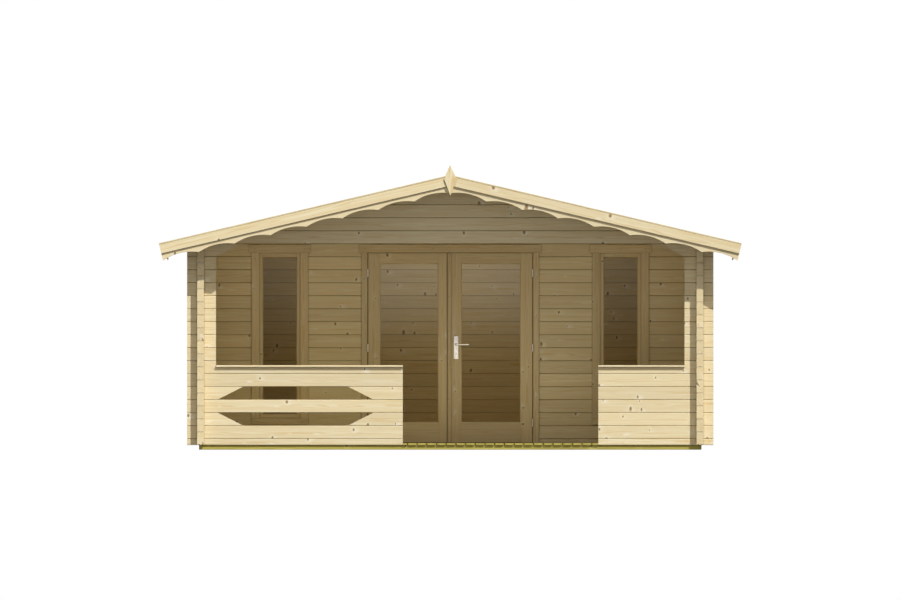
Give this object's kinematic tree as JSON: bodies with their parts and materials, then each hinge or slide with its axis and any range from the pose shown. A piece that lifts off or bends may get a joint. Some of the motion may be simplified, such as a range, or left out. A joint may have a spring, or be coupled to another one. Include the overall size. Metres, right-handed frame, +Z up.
{
  "type": "log cabin",
  "caption": "Log cabin with a low felted gable roof, scalloped boards under the front verge, a covered veranda with log railings and a glazed double door.",
  "frame": {"origin": "on the ground under the middle of the cabin's outline box", "axes": "+X to the right as seen from the veranda side, +Y from the veranda to the rear wall, +Z up"},
  "size_m": [6.054, 6.241, 2.957],
  "materials": {
    "log_pine": "planed, untreated pine",
    "planed_pine": "planed, untreated pine boards",
    "treated_pine": "pressure-treated pine, greenish",
    "deck_pine": "pressure-treated pine boards",
    "roofing_felt": "mineral-surfaced bitumen felt",
    "pane_glass": "clear float glass",
    "zinc_steel": "zinc-plated",
    "satin_steel": "satin"
  },
  "bodies": {
    "cabin": {"cross_bearers": "treated_pine", "side_bearers": "treated_pine", "floor_joists": "treated_pine", "veranda_deck": "deck_pine", "room_floor": "planed_pine", "left_side_wall": "log_pine", "right_side_wall": "log_pine", "wall_plates": "log_pine", "ridge_purlin": "log_pine", "side_purlins": "log_pine", "railing_logs": "log_pine", "left_railing_blocks": "log_pine", "front_piers": "log_pine", "front_corbels": "log_pine", "front_gable": "log_pine", "railing_caps": "planed_pine", "door_wall_ends": "log_pine", "door_wall_below_windows": "log_pine", "door_wall_piers": "log_pine", "door_wall_gable": "log_pine", "rear_wall": "log_pine", "left_roof_boards": "planed_pine", "right_roof_boards": "planed_pine", "left_roof_felt": "roofing_felt", "right_roof_felt": "roofing_felt", "fascia_boards": "planed_pine", "cap_laths": "planed_pine", "scalloped_boards": "planed_pine", "eave_boards": "planed_pine", "finial": "planed_pine", "door_jambs": "planed_pine", "door_head_and_threshold": "planed_pine", "side_trims": "planed_pine", "head_and_sill_trims": "planed_pine", "window_stiles": "planed_pine", "window_rails": "planed_pine", "window_glass": "pane_glass", "frame_hinges": "zinc_steel"},
    "left_door": {"left_door_stiles": "planed_pine", "left_door_rails": "planed_pine", "left_door_glass": "pane_glass", "left_door_hinges": "zinc_steel"},
    "right_door": {"right_door_stiles": "planed_pine", "right_door_rails": "planed_pine", "right_door_glass": "pane_glass", "right_door_hinges": "zinc_steel", "cover_strip": "planed_pine", "handle_plates": "satin_steel"},
    "lever": {"lever_handle": "satin_steel"}
  },
  "joints": [
    {"name": "left_door_hinge", "type": "hinge", "parent": "cabin", "child": "left_door", "pos_m": [-0.8555, -0.8655, 1], "axis": [0, 0, -1], "range_deg": [0, 165]},
    {"name": "right_door_hinge", "type": "hinge", "parent": "cabin", "child": "right_door", "pos_m": [0.8555, -0.8655, 1], "axis": [0, 0, 1], "range_deg": [0, 165]},
    {"name": "lever_turn", "type": "hinge", "parent": "right_door", "child": "lever", "pos_m": [0.0605, -0.8355, 1.092], "axis": [0, 1, 0], "range_deg": [0, 40], "stiffness_Nm_per_rad": 2, "springref_deg": -34.38}
  ]
}
